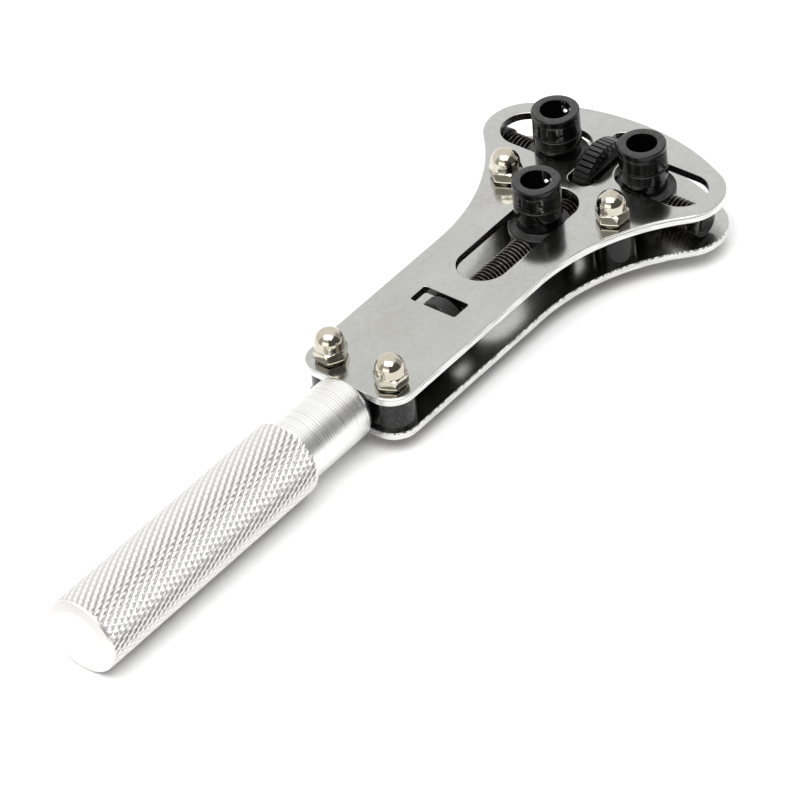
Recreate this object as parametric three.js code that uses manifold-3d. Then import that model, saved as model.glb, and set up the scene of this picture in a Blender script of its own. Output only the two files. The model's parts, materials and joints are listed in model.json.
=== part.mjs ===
// Case back opener: a watchmaker's three-jaw wrench, in millimetres, +Z up.
//
// Working axes: X along the tool towards the head, Y across it, Z = 0 midway between the two
// plates. The cross screw lies along Y and drives two jaws apart; the centre screw lies along X
// and drives the third. At the end the whole tool is shifted so that the exported origin is the
// centre of its length and width, in the plane it rests on.

import * as THREE from "three";
import { mergeVertices } from "three/addons/utils/BufferGeometryUtils.js";
import Module from "manifold-3d";

const wasm = await Module();
wasm.setup();

// ---------------------------------------------------------------- driving dimensions
const PLATE_THICKNESS = 1.8;
const PLATE_GAP = 7.0;
const REAR_X = -86.1; // rear edge of both plates
const NOSE_X = 14.1; // foremost point of both plates
const WAIST_HALF = 13.0; // half the width behind the flare
const FLARE_X = -39.0; // where the sides start to spread
const CORNER_RADIUS = 5.3;
const TIP_RADIUS = 9.3; // lobe round the outer end of each cross slot

const SLOT_HALF = 5.6; // half the width of every slot
const CROSS_SLOT = { inner: 9.7, outer: 20.0 }; // end centres, distance from the middle
const LONG_SLOT = { rear: -41.0, front: -17.9 }; // end centres along X
const CROSS_WINDOW = { halfX: 9.8, halfY: 2.95, corner: 2.0 };
const CENTRE_WINDOW = { rear: -57.9, front: -53.1, halfY: 5.65, corner: 0.5 };

const REAR_BOLT = { x: -80.8, y: 7.7 };
const FRONT_BOLT = { x: -15.3, y: 13.65 };
const BOLT_RADIUS = 1.9;
const BOLT_HOLE_RADIUS = 2.15;
const SPACER_RADIUS = 4.5;

const SCREW_RADIUS = 2.95; // plain stand-in for the crest of an M6 x 1 thread
const THREAD_BORE = 3.2; // tapped hole through each jaw
const CROSS_SCREW_X = -0.85; // the screw lies against the rear flanks of the cross slots
const CROSS_JAW_Y = 11.15; // half the distance between the two cross jaws at rest
const CENTRE_JAW_X = -22.2; // centre jaw at rest

const SOCKET_TOP = 9.1; // mouth of the sockets above the top plate
const SOCKET_RADIUS = 5.1;
const SOCKET_BORE = 3.2;
const NECK_RADIUS = 4.6;
const FLANGE_RADIUS = 6.6;

const HANDLE_RADIUS = 8.3;
const COLLAR_RADIUS = 7.0;
const HANDLE_END_X = -167.6;
const COLLAR_END_X = -105.2;

const RUNNING_GAP = 0.1; // between pieces that slide or turn on each other
const FITTED_GAP = 0.05; // between a piece and the groove or seat that holds it
const EDGE = 0.3; // small bevel on turned edges
const OVERCUT = 1.0; // how far a cutting solid runs past the surface it cuts

// ---------------------------------------------------------------- derived levels
const GAP_HALF = PLATE_GAP / 2; // inner faces of the plates
const FACE_Z = GAP_HALF + PLATE_THICKNESS; // outer faces of the plates
const MOUTH_Z = FACE_Z + SOCKET_TOP;
const DEG = Math.PI / 180;

// ---------------------------------------------------------------- materials
const material = (color, roughness, metalness) =>
  new THREE.MeshStandardMaterial({ color, roughness, metalness });
const polishedPlate = material(0xc9c9c6, 0.18, 1.0);
const nickel = material(0xcfc6b8, 0.15, 1.0);
const blackOxide = material(0x1b1b1d, 0.35, 0.7);
const darkSteel = material(0x3a3a3c, 0.4, 0.9);
const springSteel = material(0x8c8c8e, 0.3, 1.0);
const bareAluminium = material(0xe6e6e2, 0.35, 1.0);

// ---------------------------------------------------------------- geometry helpers

/** A closed three.js geometry as a Manifold solid. */
function solid(geometry) {
  const plain = geometry.index ? geometry.toNonIndexed() : geometry.clone();
  plain.deleteAttribute("normal");
  plain.deleteAttribute("uv");
  const merged = mergeVertices(plain, 1e-5);
  const corners = merged.index.array;
  const kept = [];
  for (let i = 0; i < corners.length; i += 3) {
    const [a, b, c] = [corners[i], corners[i + 1], corners[i + 2]];
    if (a !== b && b !== c && c !== a) kept.push(a, b, c);
  }
  return new wasm.Manifold(
    new wasm.Mesh({
      numProp: 3,
      vertProperties: new Float32Array(merged.attributes.position.array),
      triVerts: new Uint32Array(kept),
    }),
  );
}

/** A Manifold solid as a three.js geometry. */
function toGeometry(body) {
  const mesh = body.getMesh();
  const geometry = new THREE.BufferGeometry();
  geometry.setAttribute("position", new THREE.BufferAttribute(mesh.vertProperties, 3));
  geometry.setIndex(new THREE.BufferAttribute(mesh.triVerts, 1));
  geometry.computeVertexNormals();
  return geometry;
}

/** Turned shape: profile of [radius, height] points from low to high, axis along X, Y or Z. */
function turned(profile, axis, segments = 32) {
  const points = profile.map(([radius, height]) => new THREE.Vector2(radius, height));
  const geometry = new THREE.LatheGeometry(points, segments);
  if (axis === "x") geometry.rotateZ(-Math.PI / 2);
  if (axis === "z") geometry.rotateX(Math.PI / 2);
  return geometry;
}

/** Plain round bar between two heights on its axis. */
function bar(radius, low, high, axis, segments = 32) {
  const profile = [[0, low], [radius, low], [radius, high], [0, high]];
  return turned(profile, axis, segments);
}

/** Ring with a square section between two heights on its axis. */
function ring(inner, outer, low, high, axis, segments = 32) {
  const profile = [[inner, low], [outer, low], [outer, high], [inner, high], [inner, low]];
  return turned(profile, axis, segments);
}

/** Flat shape in XY made solid between two heights. */
function slab(shape, low, high, curveSegments = 6) {
  const geometry = new THREE.ExtrudeGeometry(shape, {
    depth: high - low,
    bevelEnabled: false,
    curveSegments,
  });
  return geometry.translate(0, 0, low);
}

/** Stadium outline round the line between two end centres. */
function stadium(x0, y0, x1, y1, radius) {
  const along = Math.atan2(y1 - y0, x1 - x0);
  const path = new THREE.Path();
  path.absarc(x1, y1, radius, along - Math.PI / 2, along + Math.PI / 2, false);
  path.absarc(x0, y0, radius, along + Math.PI / 2, along + 1.5 * Math.PI, false);
  path.closePath();
  return path;
}

/** Rectangle with rounded corners. */
function roundedWindow(x0, x1, halfY, corner) {
  const path = new THREE.Path();
  path.absarc(x1 - corner, halfY - corner, corner, 0, Math.PI / 2, false);
  path.absarc(x0 + corner, halfY - corner, corner, Math.PI / 2, Math.PI, false);
  path.absarc(x0 + corner, corner - halfY, corner, Math.PI, 1.5 * Math.PI, false);
  path.absarc(x1 - corner, corner - halfY, corner, 1.5 * Math.PI, 2 * Math.PI, false);
  path.closePath();
  return path;
}

function roundHole(x, y, radius) {
  const path = new THREE.Path();
  path.absarc(x, y, radius, 0, 2 * Math.PI, false);
  return path;
}

const tool = new THREE.Group();

function addPiece(name, geometry, look, parent = tool) {
  const mesh = new THREE.Mesh(geometry, look);
  mesh.name = name;
  parent.add(mesh);
  return mesh;
}

// ---------------------------------------------------------------- the two plates

/**
 * Plate outline: straight waist, a concave flare, a lobe round each cross slot and a shallow
 * front arc. The flare and the front arc are tangent to the lobes, which sets their radii.
 */
function plateOutline() {
  const drop = WAIST_HALF - CROSS_SLOT.outer;
  const flareRadius =
    (FLARE_X ** 2 + drop ** 2 - TIP_RADIUS ** 2) / (2 * (TIP_RADIUS - drop));
  const frontRadius =
    (NOSE_X ** 2 + CROSS_SLOT.outer ** 2 - TIP_RADIUS ** 2) / (2 * (NOSE_X - TIP_RADIUS));
  const flareCentreY = WAIST_HALF + flareRadius;
  const frontCentreX = NOSE_X - frontRadius;
  const flareAngle = Math.atan2(flareCentreY - CROSS_SLOT.outer, -FLARE_X);
  const frontAngle = Math.atan2(CROSS_SLOT.outer, -frontCentreX);

  const shape = new THREE.Shape();
  shape.absarc(REAR_BOLT.x, -REAR_BOLT.y, CORNER_RADIUS, Math.PI, 1.5 * Math.PI, false);
  shape.absarc(FLARE_X, -flareCentreY, flareRadius, Math.PI / 2, flareAngle, true);
  shape.absarc(0, -CROSS_SLOT.outer, TIP_RADIUS, flareAngle - Math.PI, -frontAngle, false);
  shape.absarc(frontCentreX, 0, frontRadius, -frontAngle, frontAngle, false);
  shape.absarc(0, CROSS_SLOT.outer, TIP_RADIUS, frontAngle, Math.PI - flareAngle, false);
  shape.absarc(FLARE_X, flareCentreY, flareRadius, -flareAngle, -Math.PI / 2, true);
  shape.absarc(REAR_BOLT.x, REAR_BOLT.y, CORNER_RADIUS, Math.PI / 2, Math.PI, false);
  shape.closePath();
  return shape;
}

/** Plate with its bolt holes and the two wheel windows. */
function plateShape() {
  const shape = plateOutline();
  for (const side of [-1, 1]) {
    for (const bolt of [REAR_BOLT, FRONT_BOLT]) {
      shape.holes.push(roundHole(bolt.x, side * bolt.y, BOLT_HOLE_RADIUS));
    }
  }
  const { halfX, halfY, corner } = CROSS_WINDOW;
  shape.holes.push(roundedWindow(-halfX, halfX, halfY, corner));
  const small = CENTRE_WINDOW;
  shape.holes.push(roundedWindow(small.rear, small.front, small.halfY, small.corner));
  return shape;
}

/** The upper plate also has a slot for each jaw; the lower plate closes the frame underneath. */
function slottedPlateShape() {
  const shape = plateShape();
  shape.holes.push(stadium(LONG_SLOT.rear, 0, LONG_SLOT.front, 0, SLOT_HALF));
  for (const side of [-1, 1]) {
    shape.holes.push(stadium(0, side * CROSS_SLOT.inner, 0, side * CROSS_SLOT.outer, SLOT_HALF));
  }
  return shape;
}

addPiece("top_plate", slab(slottedPlateShape(), GAP_HALF, FACE_Z), polishedPlate);
addPiece("bottom_plate", slab(plateShape(), -FACE_Z, -GAP_HALF), polishedPlate);

// ---------------------------------------------------------------- frame fasteners and spacers
const NUT = {
  flats: 6.3, hexHeight: 2.6, bevel: 0.4, domeRadius: 2.98, domeCentre: 3.68, bore: 2.1, depth: 5.0,
};
const BOLT_HEAD = { radius: 3.7, height: 2.1, slotWidth: 1.0, slotDepth: 0.9 };
const BOLT_POINT = 0.4; // bevel on the free end of each bolt
const BOLT_TIP_GAP = 0.6; // between that end and the bottom of the acorn nut's bore
// Crown of the bolt head as shares of its radius and height, from the slot face to the seat.
const BOLT_CROWN = [[0.62, 1.0], [0.88, 0.78], [1.0, 0.4], [1.0, 0.0]];

/** Acorn nut standing on Z = 0, one hexagon corner at the given angle. */
function capNut(cornerAngle) {
  const hexagon = new THREE.Shape();
  const reach = NUT.flats / 2 / Math.cos(30 * DEG);
  for (let i = 0; i < 6; i += 1) {
    const angle = cornerAngle + i * 60 * DEG;
    const [x, y] = [reach * Math.cos(angle), reach * Math.sin(angle)];
    if (i === 0) hexagon.moveTo(x, y);
    else hexagon.lineTo(x, y);
  }
  hexagon.closePath();
  const { hexHeight, bevel } = NUT;
  const washerRadius = NUT.flats / 2 - FITTED_GAP;
  const clear = reach + FITTED_GAP;
  const bevelled = turned(
    [
      [0, 0], [washerRadius, 0], [clear, bevel],
      [clear, hexHeight - bevel], [washerRadius, hexHeight], [0, hexHeight],
    ],
    "z",
    24,
  );
  const dome = [[0, hexHeight - bevel], [NUT.domeRadius, hexHeight - bevel]];
  const steps = 5;
  for (let i = 0; i <= steps; i += 1) {
    const lift = (i / steps) * 90 * DEG;
    const radius = i === steps ? 0 : NUT.domeRadius * Math.cos(lift);
    dome.push([radius, NUT.domeCentre + NUT.domeRadius * Math.sin(lift)]);
  }
  const outside = solid(slab(hexagon, 0, NUT.hexHeight))
    .intersect(solid(bevelled))
    .add(solid(turned(dome, "z", 20)));
  return toGeometry(outside.subtract(solid(bar(NUT.bore, -OVERCUT, NUT.depth, "z", 18))));
}

/** Pan-head bolt, head below Z = 0 with a screwdriver slot, shank up to the given length. */
function frameBolt(length) {
  const { radius, height, slotWidth, slotDepth } = BOLT_HEAD;
  const crown = BOLT_CROWN.map(([wide, high]) => [radius * wide, -height * high]);
  const profile = [
    [0, -height], ...crown, [BOLT_RADIUS, 0], [BOLT_RADIUS, length - BOLT_POINT],
    [BOLT_RADIUS - BOLT_POINT, length], [0, length],
  ];
  const slot = new THREE.BoxGeometry(3 * radius, slotWidth, slotDepth + OVERCUT);
  slot.translate(0, 0, (slotDepth - OVERCUT) / 2 - height);
  return toGeometry(solid(turned(profile, "z", 22)).subtract(solid(slot)));
}

const boltSites = [
  { name: "rear_left", at: REAR_BOLT, side: 1, corner: 29 },
  { name: "rear_right", at: REAR_BOLT, side: -1, corner: 55 },
  { name: "front_left", at: FRONT_BOLT, side: 1, corner: 54 },
  { name: "front_right", at: FRONT_BOLT, side: -1, corner: 55 },
];
for (const site of boltSites) {
  const nut = addPiece(`cap_nut_${site.name}`, capNut(site.corner * DEG), nickel);
  nut.position.set(site.at.x, site.side * site.at.y, FACE_Z);
  const boltLength = 2 * FACE_Z + NUT.depth - BOLT_TIP_GAP;
  const bolt = addPiece(`frame_bolt_${site.name}`, frameBolt(boltLength), nickel);
  bolt.position.set(site.at.x, site.side * site.at.y, -FACE_Z);
}

for (const site of boltSites.slice(2)) {
  const spacer = ring(BOLT_HOLE_RADIUS, SPACER_RADIUS, -GAP_HALF, GAP_HALF, "z");
  addPiece(`spacer_${site.name}`, spacer, blackOxide).position.set(
    site.at.x, site.side * site.at.y, 0,
  );
}

// ---------------------------------------------------------------- handle block, stud and handle
const STUD = { radius: 3.0, hole: 3.2, front: -80.9, rear: -99.0 };
const JOURNAL = { radius: 1.9, rear: -79.4, hole: 1.9 + RUNNING_GAP };
const END_GAP = 0.3; // between the end of a stud or journal and the bottom of its hole
const BLOCK_FRONT_X = REAR_BOLT.x + SPACER_RADIUS;
const BLOCK_LUG_HALF = 5.0; // middle of the block reaches back to the plates' rear edge

function handleBlock() {
  const { x, y } = REAR_BOLT;
  const outline = new THREE.Shape();
  outline.moveTo(REAR_X, -BLOCK_LUG_HALF);
  outline.lineTo(x - SPACER_RADIUS, -BLOCK_LUG_HALF);
  outline.absarc(x, -y, SPACER_RADIUS, Math.PI, 2 * Math.PI, false);
  outline.absarc(x, y, SPACER_RADIUS, 0, Math.PI, false);
  outline.lineTo(x - SPACER_RADIUS, BLOCK_LUG_HALF);
  outline.lineTo(REAR_X, BLOCK_LUG_HALF);
  outline.closePath();
  for (const side of [-1, 1]) outline.holes.push(roundHole(x, side * y, BOLT_HOLE_RADIUS));
  const studHole = bar(STUD.hole, REAR_X - OVERCUT, STUD.front + END_GAP, "x");
  const journalHole = bar(JOURNAL.hole, JOURNAL.rear - END_GAP, BLOCK_FRONT_X + OVERCUT, "x");
  return toGeometry(
    solid(slab(outline, -GAP_HALF, GAP_HALF, 8))
      .subtract(solid(studHole))
      .subtract(solid(journalHole)),
  );
}

addPiece("handle_block", handleBlock(), blackOxide);
addPiece("handle_stud", bar(STUD.radius, STUD.rear, STUD.front, "x"), darkSteel);

const HANDLE_END = { faceRadius: 6.2, coneLength: 0.7 };
const COLLAR_NOSE = { radius: 1.4, gap: 0.2 }; // rounded front edge, just clear of the plates
const HANDLE_HOLE = { drillGap: 1.5, drillPoint: 1.3 }; // beyond the rear end of the stud

/** Handle in one turned piece: end face, knurled grip, collar with a rounded nose, blind hole. */
function handle() {
  const noseX = REAR_X - COLLAR_NOSE.gap;
  const noseRadius = COLLAR_NOSE.radius;
  const holeEnd = STUD.rear - HANDLE_HOLE.drillGap;
  const profile = [
    [0, HANDLE_END_X], [HANDLE_END.faceRadius, HANDLE_END_X],
    [HANDLE_RADIUS, HANDLE_END_X + HANDLE_END.coneLength],
    [HANDLE_RADIUS, COLLAR_END_X - EDGE], [HANDLE_RADIUS - EDGE, COLLAR_END_X],
    [COLLAR_RADIUS, COLLAR_END_X],
  ];
  for (let i = 0; i <= 5; i += 1) {
    const turn = (i / 5) * 90 * DEG;
    profile.push([
      COLLAR_RADIUS - noseRadius * (1 - Math.cos(turn)),
      noseX - noseRadius * (1 - Math.sin(turn)),
    ]);
  }
  profile.push([STUD.hole, noseX], [STUD.hole, holeEnd], [0, holeEnd - HANDLE_HOLE.drillPoint]);
  return turned(profile, "x", 48);
}

addPiece("handle", handle(), bareAluminium);

// ---------------------------------------------------------------- screws, thumb wheels, collars
const CROSS_WHEEL = { radius: 9.35, halfWidth: 2.4, bevel: 0.75, teeth: 44, toothDepth: 0.45 };
const CENTRE_WHEEL = { radius: 5.2, halfWidth: 1.9, bevel: 0.5, teeth: 72, toothDepth: 0.1 };
const CROSS_END = { shoulder: 24.5, tip: 26.6, journal: 1.9 };
const COLLAR = { radius: 3.4, bore: 2.05, setback: 0.2 }; // outer face behind the screw's tip
const CENTRE_SCREW = { shoulder: BLOCK_FRONT_X + 0.4, front: -11.6, point: 0.5 };
const WHEEL_BORE = 3.1;
const CREST_SHARE = 0.36; // half a tooth's flat crest, as a share of the tooth pitch

/** Outline with flat-topped teeth, one tooth centred on the first axis. */
function toothedShape(radius, teeth, depth) {
  const shape = new THREE.Shape();
  const pitch = (2 * Math.PI) / teeth;
  const crestEdge = radius / Math.cos(CREST_SHARE * pitch);
  const edges = [[-CREST_SHARE, crestEdge], [CREST_SHARE, crestEdge], [0.5, radius - depth]];
  for (let i = 0; i < teeth; i += 1) {
    for (const [share, reach] of edges) {
      const angle = (i + share) * pitch;
      const [x, y] = [reach * Math.cos(angle), reach * Math.sin(angle)];
      if (i === 0 && share < 0) shape.moveTo(x, y);
      else shape.lineTo(x, y);
    }
  }
  shape.closePath();
  return shape;
}

/** Toothed thumb wheel about X or Y, centred on the origin. */
function thumbWheel({ radius, halfWidth, bevel, teeth, toothDepth }, axis) {
  const outline = toothedShape(radius, teeth, toothDepth);
  const teethSlab = slab(outline, -halfWidth - OVERCUT, halfWidth + OVERCUT);
  if (axis === "y") teethSlab.rotateX(Math.PI / 2);
  else teethSlab.rotateY(Math.PI / 2);
  const reach = radius + FITTED_GAP; // just outside the crests
  const disc = turned(
    [
      [WHEEL_BORE, -halfWidth], [radius - bevel, -halfWidth], [reach, bevel - halfWidth],
      [reach, halfWidth - bevel], [radius - bevel, halfWidth], [WHEEL_BORE, halfWidth],
      [WHEEL_BORE, -halfWidth],
    ],
    axis,
    teeth,
  );
  return toGeometry(solid(disc).intersect(solid(teethSlab)));
}

/** Cross screw along Y: thread stand-in with a turned-down journal at each end. */
function crossScrew() {
  const half = [
    [0, 0], [CROSS_END.journal, 0], [CROSS_END.journal, CROSS_END.tip - CROSS_END.shoulder],
    [SCREW_RADIUS - EDGE, CROSS_END.tip - CROSS_END.shoulder],
    [SCREW_RADIUS, CROSS_END.tip - CROSS_END.shoulder + EDGE],
  ];
  const lower = half.map(([radius, height]) => [radius, height - CROSS_END.tip]);
  const upper = lower.map(([radius, height]) => [radius, -height]).reverse();
  return turned([...lower, ...upper], "y");
}

/** Centre screw along X: rear journal in the handle block, free front end. */
function centreScrew() {
  const { shoulder, front, point } = CENTRE_SCREW;
  return turned(
    [
      [0, JOURNAL.rear], [JOURNAL.radius, JOURNAL.rear], [JOURNAL.radius, shoulder],
      [SCREW_RADIUS, shoulder], [SCREW_RADIUS, front - point], [SCREW_RADIUS - point, front],
      [0, front],
    ],
    "x",
  );
}

const crossDrive = new THREE.Group();
crossDrive.position.x = CROSS_SCREW_X;
tool.add(crossDrive);
addPiece("cross_screw", crossScrew(), darkSteel, crossDrive);
addPiece("cross_thumb_wheel", thumbWheel(CROSS_WHEEL, "y"), blackOxide, crossDrive);
for (const [name, side] of [["left", 1], ["right", -1]]) {
  const inner = CROSS_END.shoulder + RUNNING_GAP;
  const outer = CROSS_END.tip - COLLAR.setback;
  const endCollar = ring(COLLAR.bore, COLLAR.radius, inner, outer, "y");
  const collar = addPiece(`screw_end_collar_${name}`, endCollar, blackOxide, crossDrive);
  if (side < 0) collar.rotation.z = Math.PI;
}

addPiece("centre_screw", centreScrew(), darkSteel);
addPiece("centre_thumb_wheel", thumbWheel(CENTRE_WHEEL, "x"), blackOxide).position.x =
  (CENTRE_WINDOW.rear + CENTRE_WINDOW.front) / 2;

// ---------------------------------------------------------------- jaws with their bit detents
const SLEEVE = { top: MOUTH_Z - 1.85, bottom: MOUTH_Z - 5.35, inner: 4.7, outer: 5.05, slit: 2.2 };
const BALL = { radius: 1.1, z: MOUTH_Z - 3.0, hole: 1.25 };
const FLANGE = { top: GAP_HALF - RUNNING_GAP, thickness: 1.6, bodyRadius: 5.6 };
const SOCKET_FLOOR = { z: 4.2, drillPoint: 0.6 }; // bottom of the bore
const CUP_FOOT = { z: FACE_Z + 0.8, inset: 0.5, rise: 0.6 }; // socket's underside and its bevel
const MOUTH = { outerBevel: 0.45, innerBevel: 0.2 };

/** Jaw on the Z axis: socket and neck above the plate, body and two flanges between the plates. */
function jaw(screwAxis) {
  const groove = SLEEVE.inner - FITTED_GAP;
  const grooveFoot = SLEEVE.bottom - FITTED_GAP;
  const grooveTop = SLEEVE.top + FITTED_GAP;
  const flangeFoot = FLANGE.top - FLANGE.thickness;
  const profile = [
    [0, -FLANGE.top], [FLANGE_RADIUS - EDGE, -FLANGE.top], [FLANGE_RADIUS, EDGE - FLANGE.top],
    [FLANGE_RADIUS, -flangeFoot],
    [FLANGE.bodyRadius, -flangeFoot], [FLANGE.bodyRadius, flangeFoot],
    [FLANGE_RADIUS, flangeFoot], [FLANGE_RADIUS, FLANGE.top - EDGE],
    [FLANGE_RADIUS - EDGE, FLANGE.top], [NECK_RADIUS, FLANGE.top], [NECK_RADIUS, CUP_FOOT.z],
    [SOCKET_RADIUS - CUP_FOOT.inset, CUP_FOOT.z], [SOCKET_RADIUS, CUP_FOOT.z + CUP_FOOT.rise],
    [SOCKET_RADIUS, grooveFoot], [groove, grooveFoot],
    [groove, grooveTop], [SOCKET_RADIUS, grooveTop],
    [SOCKET_RADIUS, MOUTH_Z - MOUTH.outerBevel], [SOCKET_RADIUS - MOUTH.outerBevel, MOUTH_Z],
    [SOCKET_BORE + MOUTH.innerBevel, MOUTH_Z], [SOCKET_BORE, MOUTH_Z - MOUTH.innerBevel],
    [SOCKET_BORE, SOCKET_FLOOR.z + SOCKET_FLOOR.drillPoint], [0, SOCKET_FLOOR.z],
  ];
  const screwReach = FLANGE_RADIUS + OVERCUT;
  const screwHole = bar(THREAD_BORE, -screwReach, screwReach, screwAxis, 28);
  const ballHole = bar(BALL.hole, SOCKET_BORE - OVERCUT, SOCKET_RADIUS + OVERCUT, "x", 16);
  ballHole.translate(0, 0, BALL.z);
  return toGeometry(
    solid(turned(profile, "z", 36)).subtract(solid(screwHole)).subtract(solid(ballHole)),
  );
}

/** Split spring sleeve round the socket, its slit on the side away from the ball. */
function springSleeve() {
  const open = Math.asin(SLEEVE.slit / 2 / SLEEVE.inner);
  const shape = new THREE.Shape();
  shape.absarc(0, 0, SLEEVE.outer, open - Math.PI, Math.PI - open, false);
  shape.absarc(0, 0, SLEEVE.inner, Math.PI - open, open - Math.PI, true);
  shape.closePath();
  return slab(shape, SLEEVE.bottom, SLEEVE.top, 16);
}

/** Steel ball that grips the bit, resting against the inside of the spring sleeve. */
function detentBall() {
  const ball = new THREE.SphereGeometry(BALL.radius, 12, 8);
  return ball.translate(SLEEVE.inner - BALL.radius - FITTED_GAP, 0, BALL.z);
}

// The right jaw is turned half a turn, so its ball is on the side towards the handle.
const jawSites = [
  { name: "left", x: CROSS_SCREW_X, y: CROSS_JAW_Y, screw: "y", turn: 0 },
  { name: "right", x: CROSS_SCREW_X, y: -CROSS_JAW_Y, screw: "y", turn: Math.PI },
  { name: "centre", x: CENTRE_JAW_X, y: 0, screw: "x", turn: 0 },
];
for (const site of jawSites) {
  const place = new THREE.Group();
  place.position.set(site.x, site.y, 0);
  place.rotation.z = site.turn;
  tool.add(place);
  addPiece(`${site.name}_jaw`, jaw(site.screw), blackOxide, place);
  addPiece(`${site.name}_spring_sleeve`, springSleeve(), blackOxide, place);
  addPiece(`${site.name}_detent_ball`, detentBall(), springSteel, place);
}

// ---------------------------------------------------------------- exported frame
const object = new THREE.Group();
tool.position.set(-(NOSE_X + HANDLE_END_X) / 2, 0, CROSS_WHEEL.radius);
object.add(tool);
object.updateMatrixWorld(true);

export default object;
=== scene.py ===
# Case back opener: the finished surfaces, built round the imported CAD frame.
#
# Working frame, as in the CAD source: millimetres, X towards the head, Y to the left, Z up, origin
# where the slots' centre lines cross, midway between the two plates. place() turns it into metres.
import json
from math import acos, asin, atan2, ceil, cos, degrees, dist, floor, pi, radians, sin, tan

import bmesh
import bpy
import numpy as np
from mathutils import Matrix, Vector
from mathutils.geometry import delaunay_2d_cdt


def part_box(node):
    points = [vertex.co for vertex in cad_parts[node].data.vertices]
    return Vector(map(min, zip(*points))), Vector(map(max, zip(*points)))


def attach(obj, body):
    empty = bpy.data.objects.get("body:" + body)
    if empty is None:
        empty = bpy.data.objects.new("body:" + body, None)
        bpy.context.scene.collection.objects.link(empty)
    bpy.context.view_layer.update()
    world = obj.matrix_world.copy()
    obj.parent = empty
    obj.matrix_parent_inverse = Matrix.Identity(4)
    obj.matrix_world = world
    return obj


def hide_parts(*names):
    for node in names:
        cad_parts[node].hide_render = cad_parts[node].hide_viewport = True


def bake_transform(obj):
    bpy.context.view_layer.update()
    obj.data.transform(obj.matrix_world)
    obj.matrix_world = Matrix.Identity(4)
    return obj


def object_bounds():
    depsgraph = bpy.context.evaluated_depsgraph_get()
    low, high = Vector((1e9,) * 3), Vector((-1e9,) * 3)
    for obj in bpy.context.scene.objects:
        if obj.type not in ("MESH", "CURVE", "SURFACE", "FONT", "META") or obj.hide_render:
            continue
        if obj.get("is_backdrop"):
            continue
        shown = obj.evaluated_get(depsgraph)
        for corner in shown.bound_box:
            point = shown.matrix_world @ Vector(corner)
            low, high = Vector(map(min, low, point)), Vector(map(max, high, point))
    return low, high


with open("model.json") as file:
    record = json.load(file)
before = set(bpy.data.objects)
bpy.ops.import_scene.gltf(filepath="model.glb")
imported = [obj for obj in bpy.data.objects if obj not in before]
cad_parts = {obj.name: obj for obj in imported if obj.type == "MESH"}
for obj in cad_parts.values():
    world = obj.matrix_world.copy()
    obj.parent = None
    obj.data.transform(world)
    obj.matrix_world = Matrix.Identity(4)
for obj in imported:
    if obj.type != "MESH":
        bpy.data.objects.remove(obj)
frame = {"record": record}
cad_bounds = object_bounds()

MM = 0.001
RECORD = frame["record"]
BODY_OF = {
    node: body for body, nodes in RECORD["behaviour"]["bodies"].items() for node in nodes
}

# ---- places, read from the frame
SCREW_OFFSET = 0.85  # the cross screw lies this far behind the cross slots' centre line


def box_mm(node):
    low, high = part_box(node)
    return np.array(low) / MM, np.array(high) / MM


def find_datum():
    top_low = box_mm("top_plate")[0]
    bottom_high = box_mm("bottom_plate")[1]
    screw_low, screw_high = box_mm("cross_screw")
    cross_x = (screw_low[0] + screw_high[0]) / 2 + SCREW_OFFSET
    return np.array([cross_x, 0.0, (top_low[2] + bottom_high[2]) / 2])


DATUM = find_datum()


def local_box(node):
    low, high = box_mm(node)
    return low - DATUM, high - DATUM


def centre_of(node):
    low, high = local_box(node)
    return (low + high) / 2


PLATE_LOW, PLATE_HIGH = local_box("top_plate")
GAP_HALF, FACE_Z = PLATE_LOW[2], PLATE_HIGH[2]
REAR_X, NOSE_X = PLATE_LOW[0], PLATE_HIGH[0]
TIP_RADIUS = 9.3
CROSS_OUTER = PLATE_HIGH[1] - TIP_RADIUS
WAIST_HALF = 13.0
FLARE_X = -39.0
CORNER_RADIUS = 5.3
SLOT_HALF = 5.6
CROSS_INNER = 9.7
LONG_SLOT_REAR, LONG_SLOT_FRONT = -41.0, -17.9
CROSS_WINDOW = {"rear": -9.8, "front": 9.8, "half_y": 2.95, "corner": 2.0}
CENTRE_WINDOW = {"rear": -57.9, "front": -53.1, "half_y": 5.65, "corner": 0.5}
BOLT_HOLE = 2.15
REAR_BOLT = centre_of("cap_nut_rear_left")
FRONT_BOLT = centre_of("cap_nut_front_left")
SPACER_RADIUS = 4.5

MOUTH_Z = local_box("left_jaw")[1][2]
FULL_TURN = 2 * pi


# ---- outlines
def arc(centre, radius, start, end, step=4.0):
    """Points on an arc, angles in degrees, both ends included."""
    count = max(2, int(ceil(abs(end - start) / step)) + 1)
    angles = np.radians(np.linspace(start, end, count))
    return [(centre[0] + radius * cos(a), centre[1] + radius * sin(a)) for a in angles]


def stadium(a, b, radius, step=4.0):
    """Stadium round the line from a to b, anticlockwise."""
    along = degrees(atan2(b[1] - a[1], b[0] - a[0]))
    return arc(b, radius, along - 90, along + 90, step) + arc(a, radius, along + 90, along + 270, step)


def rounded_window(rear, front, half_y, corner):
    low_x, high_x, y = rear + corner, front - corner, half_y - corner
    points = []
    for quarter, centre in enumerate([(high_x, y), (low_x, y), (low_x, -y), (high_x, -y)]):
        points += arc(centre, corner, 90 * quarter, 90 * quarter + 90, 15)
    return points


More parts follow.
